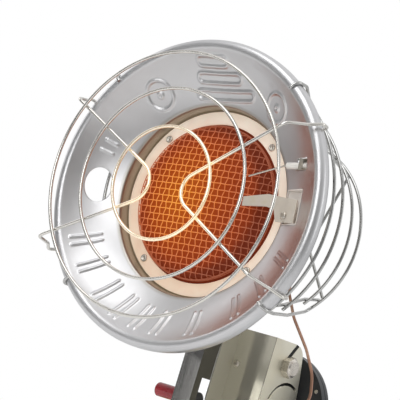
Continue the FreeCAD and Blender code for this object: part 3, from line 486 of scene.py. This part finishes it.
# the pressed lines: half their width, how high they stand, and where the bowl takes them
PRESS_HALF = 1.65
PRESS_RISE = 1.25
PRESS_FROM = 98.0
PRESS_TO = JOIN[0] - 1.0
# lines in pairs around the bowl, each this far off the pair's middle
PAIR_HALF = 3.7
PAIR_MIDDLE = 125.0
PAIR_FROM, PAIR_TO = 112.0, 136.0
PAIR_ANGLES = (-155, -142, -126.5, -114, -103, -92, -75, -53, -38.5, -24)
# two short single lines at the left
SHORT_FROM, SHORT_TO = 115.0, 124.0
SHORT_ANGLES = (157.0, 162.0)
# level rounded outlines above the burner: centre, half length and half height
PILLS = [((-4.0, 132.5), 13.0, 4.2), ((2.0, 118.5), 21.0, 4.2), ((8.0, 103.5), 29.0, 4.2)]
# round outlines beside them, each around a small one: radius and count of segments
ROUND_AT = 117.5
ROUND_ANGLES = (123.5, 52.4)
ROUNDS = ((13.0, 24), (2.2, 10))

# holes through the bowl: outline, centre and half sizes
HOLES = [("oval", (-116.5, 3.6), (11.5, 17.3)), ("box", (107.0, 1.5), (11.5, 17.0)),
         ("box", (112.5, 41.5), (8.5, 5.5))]
# inside this radius a hole's edge is left as it is, so that the well keeps its lip
LIP = 95.5


def dish_profile():
    """Front face of the dish's section as (radius, depth), from the seat out to the rim."""
    rows = [(82.2, SEAT[1]), (84.0, SEAT[1]), (87.0, SEAT[1]), (90.0, SEAT[1]), (92.2, SEAT[1])]
    rows += [(92.9, -46.3), (93.1, -45.0), (93.4, -42.0), (93.8, -39.0), (94.1, -36.4)]
    rows += [(94.4, -34.9), (95.1, -33.9)]
    for i in range(1, BOWL_STEPS + 1):
        t = i / BOWL_STEPS
        r = WELL[0] + (JOIN[0] - WELL[0]) * t
        c = WELL[1] + (JOIN[1] - WELL[1]) * t
        bulge = 4.0 * t * (1.0 - t) * BELLY
        rows.append((r + OUTWARD[0] * bulge, c + OUTWARD[1] * bulge))
    for i in range(1, BEAD_STEPS + 1):
        t = math.radians(BEAD_START + (180.0 - BEAD_START) * i / BEAD_STEPS)
        rows.append((RIM - BEAD - BEAD * math.cos(t), -BEAD + BEAD * math.sin(t)))
    rows += [(RIM, -8.0), (RIM, -10.0), (RIM - 0.1, -12.0)]
    return rows


def segment_distance(a, b, p, q):
    """Distance in the dish's plane from each point (a, b) to the line from p to q."""
    d = np.array(q, float) - np.array(p, float)
    t = ((a - p[0]) * d[0] + (b - p[1]) * d[1]) / max(float(d @ d), 1e-9)
    t = np.clip(t, 0.0, 1.0)
    return np.hypot(a - p[0] - t * d[0], b - p[1] - t * d[1])


def polar(r, degrees):
    """A point at a radius and an angle."""
    t = math.radians(degrees)
    return (r * math.cos(t), r * math.sin(t))


def ring_of(centre, radius, count):
    """A closed circle as short segments."""
    spots = [(centre[0] + polar(radius, 360.0 * k / count)[0],
              centre[1] + polar(radius, 360.0 * k / count)[1]) for k in range(count + 1)]
    return list(zip(spots[:-1], spots[1:]))


def pill_of(centre, half, rise):
    """A long rounded outline lying level, as segments."""
    x, y = centre
    right = [(x + half + polar(rise, t)[0], y + polar(rise, t)[1]) for t in range(-90, 91, 30)]
    left = [(x - half + polar(rise, t)[0], y + polar(rise, t)[1]) for t in range(90, 271, 30)]
    loop = right + left + right[:1]
    return list(zip(loop[:-1], loop[1:]))


def dish_beads():
    """Plain pressed beads in the dish, each a segment between two points."""
    beads = []
    for angle in PAIR_ANGLES:
        for side in (-1.0, 1.0):
            lean = math.degrees(PAIR_HALF * side / PAIR_MIDDLE)
            beads.append((polar(PAIR_FROM, angle + lean), polar(PAIR_TO, angle + lean)))
    for pill in PILLS:
        beads += pill_of(*pill)
    for angle in ROUND_ANGLES:
        for radius, count in ROUNDS:
            beads += ring_of(polar(ROUND_AT, angle), radius, count)
    for angle in SHORT_ANGLES:
        beads.append((polar(SHORT_FROM, angle), polar(SHORT_TO, angle)))
    return beads


def hole_depth(kind, centre, size, a, b):
    """Below zero inside a hole's outline and above zero outside it."""
    if kind == "oval":
        return np.hypot((a - centre[0]) / size[0], (b - centre[1]) / size[1]) - 1.0
    return np.maximum(np.abs(a - centre[0]) - size[0], np.abs(b - centre[1]) - size[1])


def onto_outline(kind, centre, size, a, b):
    """Each point (a, b) moved to a hole's outline."""
    da, db = a - centre[0], b - centre[1]
    if kind == "oval":
        scale = 1.0 / np.maximum(np.hypot(da / size[0], db / size[1]), 1e-6)
        return centre[0] + da * scale, centre[1] + db * scale
    beside = (np.abs(da) - size[0]) > (np.abs(db) - size[1])
    return (np.where(beside, centre[0] + np.sign(da) * size[0], a),
            np.where(beside, b, centre[1] + np.sign(db) * size[1]))


def corners_of(cells):
    """The grid points at the corners of the marked cells, which close into a ring."""
    corners = np.zeros((len(cells) + 1, cells.shape[1]), bool)
    for di in (0, 1):
        for dj in (0, 1):
            corners[di:len(cells) + di] |= np.roll(cells, dj, 1)
    return corners


def build_dish():
    """The sheet dish with its pressed lines and holes, as one skin given its thickness."""
    rows = np.array(dish_profile())
    count = len(rows)
    angles = 2.0 * math.pi * np.arange(AROUND) / AROUND
    r = np.repeat(rows[:, 0][:, None], AROUND, 1)
    c = np.repeat(rows[:, 1][:, None], AROUND, 1)
    slope = np.gradient(rows, axis=0)
    slope /= np.linalg.norm(slope, axis=1)[:, None]

    # the pressed lines stand out square to the bowl
    a = r * np.cos(angles)
    b = r * np.sin(angles)
    near = np.full(a.shape, 99.0)
    for p, q in dish_beads():
        near = np.minimum(near, segment_distance(a, b, p, q))
    rise = PRESS_RISE * np.clip(1.0 - (near / PRESS_HALF) ** 2, 0.0, 1.0) ** 0.8
    rise = np.where((r > PRESS_FROM) & (r < PRESS_TO), rise, 0.0)
    r = r - rise * slope[:, 1][:, None]
    c = c + rise * slope[:, 0][:, None]
    a = r * np.cos(angles)
    b = r * np.sin(angles)

    # cells inside a hole are dropped, and the points left around it are drawn to its outline
    drop = np.zeros((count - 1, AROUND), bool)
    for hole in HOLES:
        depth = hole_depth(*hole, a, b)
        wide = np.roll(depth, -1, 1)
        inside = (depth[:-1] + depth[1:] + wide[:-1] + wide[1:]) / 4.0 < 0.0
        inside &= r[:-1] > SEAT[0]
        drop |= inside
        edge = corners_of(inside) & corners_of(~inside)
        new_a, new_b = onto_outline(*hole, a, b)
        moved = np.hypot(new_a, new_b)
        order = r[:, 0].argsort()
        new_c = np.interp(moved, r[order, 0], c[order, 0])
        edge &= moved > LIP
        a = np.where(edge, new_a, a)
        b = np.where(edge, new_b, b)
        c = np.where(edge, new_c, c)

    points = head_array(a, b, c).reshape(-1, 3)
    faces = []
    for i in range(count - 1):
        for j in range(AROUND):
            if not drop[i, j]:
                n = (j + 1) % AROUND
                faces.append((i * AROUND + j, (i + 1) * AROUND + j,
                              (i + 1) * AROUND + n, i * AROUND + n))
    dish = from_arrays("reflector_sheet", points, faces, dish_look)
    bm = bmesh.new()
    bm.from_mesh(dish.data)
    loose = [v for v in bm.verts if not v.link_faces]
    bmesh.ops.delete(bm, geom=loose, context="VERTS")
    bmesh.ops.recalc_face_normals(bm, faces=bm.faces)
    front = sum(1 for f in bm.faces if f.normal.y < 0)
    if front < len(bm.faces) / 2:
        bmesh.ops.reverse_faces(bm, faces=bm.faces)
    bm.to_mesh(dish.data)
    bm.free()
    thick = dish.modifiers.new("sheet", "SOLIDIFY")
    thick.thickness = 1.0 * MM
    thick.offset = -1.0
    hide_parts("reflector")
    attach(dish, "heater")


build_dish()

# ------------------------------------------------------------- the woven screen

# the screen in millimetres: its mesh width and turn, its radius, and its dome
WEAVE = 6.3
WEAVE_TURN = math.radians(-2.5)
SCREEN_R = 75.6
SCREEN_TOP = -30.2
CURVE_R = 365.0
WIRE_R = 0.48
# how far each family of wires swings over and under the other
CRIMPS = (0.7, 0.85)
# wires shorter than this at the screen's edge are left out
SHORTEST = 6.0
# a wire's end settles onto the wall over this length, by this much
SETTLE = 4.0
SETTLE_DROP = 1.2
# down the wall to the seat: share of the wire's reach, and depth
WALL = ((1.0, SEAT[1] - 0.2), (0.999, -43.0), (0.998, -40.5))
# wires around the wall: depth and radius
HOOPS = ((-40.0, 76.3), (-42.4, 76.0), (-44.6, 76.3))
HOOP_POINTS = 200
HOOP_WIRE_R = 0.5


def screen_height(r):
    """Depth of the screen's dome at a radius from its centre."""
    return SCREEN_TOP - (CURVE_R - np.sqrt(CURVE_R ** 2 - np.minimum(r, SCREEN_R) ** 2))


def weave_wires():
    """Crimped wires across the dome and down its wall, over and under each other."""
    lines = []
    count = int(SCREEN_R // WEAVE)
    for family, crimp in enumerate(CRIMPS):
        for index in range(-count, count + 1):
            off = index * WEAVE
            reach = math.sqrt(max(SCREEN_R ** 2 - off ** 2, 0.0))
            if reach < SHORTEST:
                continue
            along = np.arange(-reach, reach + 0.01, WEAVE / 8.0)
            wave = crimp * np.cos(math.pi * (along / WEAVE + index + family))
            height = screen_height(np.hypot(along, off)) + wave
            fade = np.clip((reach - np.abs(along)) / SETTLE, 0.0, 1.0)
            height = height - (1.0 - fade) ** 2 * SETTLE_DROP
            start = [(along[0] * share, level) for share, level in WALL]
            end = [(along[-1] * share, level) for share, level in reversed(WALL)]
            flat = np.array(start + list(zip(along, height)) + end)
            side = np.full(len(flat), off)
            across, up = (flat[:, 0], side) if family == 0 else (side, flat[:, 0])
            turned_a = across * math.cos(WEAVE_TURN) - up * math.sin(WEAVE_TURN)
            turned_b = across * math.sin(WEAVE_TURN) + up * math.cos(WEAVE_TURN)
            lines.append(head_array(turned_a, turned_b, flat[:, 1]))
    return lines


def wall_hoops():
    """The wires that run around the screen's wall."""
    t = np.linspace(0.0, 2.0 * math.pi, HOOP_POINTS, endpoint=False)
    return [head_array(radius * np.cos(t), radius * np.sin(t), np.full(HOOP_POINTS, level))
            for level, radius in HOOPS]


weave = tubes("emitter_weave", weave_wires(), WIRE_R * MM, hot_wire)
screen_hoops = tubes("emitter_wall_wires", wall_hoops(), HOOP_WIRE_R * MM, hot_wire, closed=True)
for piece in (weave, screen_hoops):
    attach(piece, "heater")
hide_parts("emitter_mesh")

# ------------------------------------------------------------- the spring and the rivets


def pressed_spring():
    """The valve's spring on its own mesh."""
    source = nodes["valve_spring"]
    obj = make_object("valve_spring_coil", source.data.copy(), spring_look)
    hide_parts("valve_spring")
    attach(obj, "heater")
    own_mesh(obj)


# a rivet's section from its dimple to its tail: radius, and height above the ring
RIVET = [(0.0, 0.35), (1.0, 0.35), (1.5, 0.75), (2.1, 1.45), (2.8, 1.6), (3.4, 1.2),
         (3.7, 0.5), (3.7, 0.05), (1.5, 0.0), (1.5, -3.6), (2.5, -3.6), (2.6, -4.6),
         (2.2, -4.8), (0.0, -4.8)]
RIVET_TURNS = 32
RIVET_CIRCLE = 85.0
RIVET_ANGLES = (45.0, 135.0, -135.0, -45.0)
RING_FRONT = SEAT[1] + 1.4


def rivets():
    """Dimpled rivet heads on the ring, each turned in one piece with its shank and tail."""
    points, faces = [], []
    count = len(RIVET)
    for angle in RIVET_ANGLES:
        spot = polar(RIVET_CIRCLE, angle)
        start = len(points)
        for k in range(RIVET_TURNS):
            for r, c in RIVET:
                da, db = polar(r, 360.0 * k / RIVET_TURNS)
                points.append(head(spot[0] + da, spot[1] + db, RING_FRONT + c))
        for k in range(RIVET_TURNS):
            n = (k + 1) % RIVET_TURNS
            for i in range(count - 1):
                faces.append((start + k * count + i, start + n * count + i,
                              start + n * count + i + 1, start + k * count + i + 1))
    obj = from_arrays("ring_rivets", points, faces, rivet_look)
    bm = bmesh.new()
    bm.from_mesh(obj.data)
    bmesh.ops.remove_doubles(bm, verts=bm.verts, dist=1e-6)
    bmesh.ops.recalc_face_normals(bm, faces=bm.faces)
    bm.to_mesh(obj.data)
    bm.free()
    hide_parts("flange_rivets")
    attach(obj, "heater")


# ------------------------------------------------------------- CAD nodes and their finishes

# kept as they are: the wires of the guard and the cage, and a few round pieces
WIRES = ["guard_ring_inner", "guard_ring_middle", "guard_ring_outer", "guard_wire_left",
         "guard_wire_right", "cage_ring_front", "cage_ring_second", "cage_ring_third",
         "cage_ring_back", "cage_spine_upper_right", "cage_spine_upper_left",
         "cage_spine_lower_right", "cage_spine_lower_left", "cage_chord_right",
         "cage_chord_left"]
KEPT = [("emitter_core", hot_core), ("thermocouple_lead", copper_look),
        ("ignition_lead", rubber_look), ("gas_pipe", copper_look),
        ("regulator_diaphragm", rubber_look), ("regulator_spring", spring_look),
        ("mixing_tube", plated_look), ("igniter_electrode", bolt_look)]

# given rounded edges: node, finish, slot, and the rounding's width in millimetres
FORMS = [
    ("plenum_cup", steel_look, "steel", 0.7),
    ("sensor_saddle", saddle_look, "flange", 0.8),
    ("sensor_plate", sensor_look, "sensor", 0.35),
    ("thermocouple", brass_look, "brass", 0.3),
    ("igniter_ceramic", ceramic_look, "ceramic", 0.6),
    ("igniter_clip", steel_look, "steel", 0.25),
    ("stand_strap", strap_look, "plated", 0.45),
    ("stand_channel", channel_look, "plated", 0.45),
    ("base_tie", plated_look, "plated", 0.45),
    ("tie_bolts", bolt_look, "bolt", 0.35),
    ("tie_nuts", bolt_look, "bolt", 0.35),
    ("clamp_screw", bolt_look, "bolt", 0.4),
    ("injector", brass_look, "brass", 0.3),
    ("valve_body", brass_look, "brass", 0.6),
    ("valve_plunger", steel_look, "brass", 0.5),
    ("magnet_unit", brass_look, "brass", 0.5),
    ("thermocouple_nut", brass_look, "brass", 0.4),
    ("flare_nuts", brass_look, "brass", 0.5),
    ("piezo_igniter", black_look, "black_plastic", 0.6),
    ("red_button", red_look, "red_plastic", 0.6),
    ("regulator_body", regulator_look, "regulator", 1.2),
    ("regulator_bonnet", regulator_look, "regulator", 1.2),
    ("regulator_screws", bolt_look, "bolt", 0.4),
    ("regulator_knob", black_look, "black_plastic", 0.9),
    ("inlet_elbow", brass_look, "brass", 0.8),
    ("tank_nipple", brass_look, "brass", 0.6),
    ("tank_nut", brass_look, "brass", 0.6),
    ("hand_wheel", black_look, "black_plastic", 0.8),
    ("pan_screws", rivet_look, "rivet", 0.4),
    ("sensor_screw", rivet_look, "rivet", 0.4),
    ("side_bolt", bolt_look, "bolt", 0.5),
]

for node in WIRES:
    dressed(node, guard_look if node.startswith("guard") else wire_look)
for node, look in KEPT:
    dressed(node, look)
pressed_spring()
refined("burner_flange", flange_look, 0.35)
rivets()
for node, look, slot, width in FORMS:
    refined(node, look, width)

# ------------------------------------------------------------- floor, light and camera

scene = bpy.context.scene

# a pale disc just under the part, moved a little towards the camera
FLOOR_R = 0.95
FLOOR_Y = -0.15
FLOOR_GAP = 0.0005
FLOOR_SIDES = 96


def lay_floor():
    """The floor as one flat disc, set apart from the part."""
    mesh = bpy.data.meshes.new("floor")
    level = cad_box[0][2] - FLOOR_GAP
    edge = []
    for k in range(FLOOR_SIDES):
        t = 2.0 * math.pi * k / FLOOR_SIDES
        edge.append((FLOOR_R * math.cos(t), FLOOR_R * math.sin(t) + FLOOR_Y, level))
    mesh.from_pydata(edge, [], [list(range(FLOOR_SIDES))])
    look = Look("pale_floor")
    look.plug("Base Color", look.ramp(look.noise(1.5), [(0.3, (0.86, 0.86, 0.86)),
                                                        (0.7, (0.90, 0.90, 0.90))]))
    look.plug("Roughness", 0.7)
    floor = make_object("floor", mesh, look, smooth=False)


def light_world():
    """Plain white where the camera sees it; for the part, brighter behind and above."""
    world = bpy.data.worlds.new("studio")
    scene.world = world
    world.use_nodes = True
    nodes_of, link = world.node_tree.nodes, world.node_tree.links.new
    nodes_of.clear()

    def brightness(source, from_low, from_high, low, high):
        n = nodes_of.new("ShaderNodeMapRange")
        link(source, n.inputs["Value"])
        for socket, value in (("From Min", from_low), ("From Max", from_high),
                              ("To Min", low), ("To Max", high)):
            n.inputs[socket].default_value = value
        return n.outputs[0]

    split = nodes_of.new("ShaderNodeSeparateXYZ")
    link(nodes_of.new("ShaderNodeTexCoord").outputs["Generated"], split.inputs[0])
    total = nodes_of.new("ShaderNodeMath")
    link(brightness(split.outputs["Y"], -0.9, 0.5, 0.17, 0.62), total.inputs[0])
    link(brightness(split.outputs["Z"], 0.15, 0.8, 0.0, 0.35), total.inputs[1])
    seen = nodes_of.new("ShaderNodeMix")
    seen.data_type = "FLOAT"
    link(nodes_of.new("ShaderNodeLightPath").outputs["Is Camera Ray"], seen.inputs[0])
    link(total.outputs[0], seen.inputs[2])
    seen.inputs[3].default_value = 1.0
    back = nodes_of.new("ShaderNodeBackground")
    back.inputs["Color"].default_value = (1.0, 1.0, 1.0, 1.0)
    link(seen.outputs[0], back.inputs["Strength"])
    link(back.outputs[0], nodes_of.new("ShaderNodeOutputWorld").inputs["Surface"])


# area lights: name, place, the spot it faces, its two sides in metres, and its watts
AIM = (0.0, -0.2, 0.15)
LIGHTS = [
    ("key_above", (-0.1, -1.5, 1.7), AIM, (1.6, 1.2), 13.0),
    ("fill_left", (-2.0, -0.3, 0.9), AIM, (1.2, 1.2), 5.0),
    ("front_soft", (0.15, -1.8, 0.55), AIM, (0.9, 0.6), 5.5),
    ("strip_front", (-0.844, -1.475, 0.15), (0.0, -0.138, 0.08), (0.055, 1.5), 0.5),
    ("rim_right", (1.8, 0.9, 0.8), AIM, (0.8, 1.4), 4.0),
]


def hang_light(name, at, aim, size, power):
    """A rectangular light at one spot, facing another."""
    light = bpy.data.lights.new(name, "AREA")
    light.shape = "RECTANGLE"
    light.size, light.size_y = size
    light.energy = power
    obj = bpy.data.objects.new(name, light)
    scene.collection.objects.link(obj)
    obj.location = at
    obj.rotation_euler = (Vector(aim) - Vector(at)).to_track_quat("-Z", "Y").to_euler()


# the camera fitted to the photograph: its place, and its own axes in the part's frame
CAMERA_AT = (1.0887, -1.8089, 0.0680)
CAMERA_RIGHT = Vector((0.79259, 0.53546, 0.29170))
CAMERA_UP = Vector((-0.18772, -0.24089, 0.95223))
CAMERA_BACK = Vector((0.58014, -0.80948, -0.09041))


def set_camera():
    """The camera at its fitted place, with its lens and film width in millimetres."""
    data = bpy.data.cameras.new("camera")
    data.lens = 180.0
    data.sensor_width = 36.0
    data.clip_end = 50.0
    camera = bpy.data.objects.new("camera", data)
    scene.collection.objects.link(camera)
    turn = Matrix((CAMERA_RIGHT, CAMERA_UP, CAMERA_BACK)).transposed().to_4x4()
    camera.matrix_world = Matrix.Translation(CAMERA_AT) @ turn
    scene.camera = camera


lay_floor()
light_world()
for row in LIGHTS:
    hang_light(*row)
set_camera()
scene.view_settings.view_transform = "Standard"
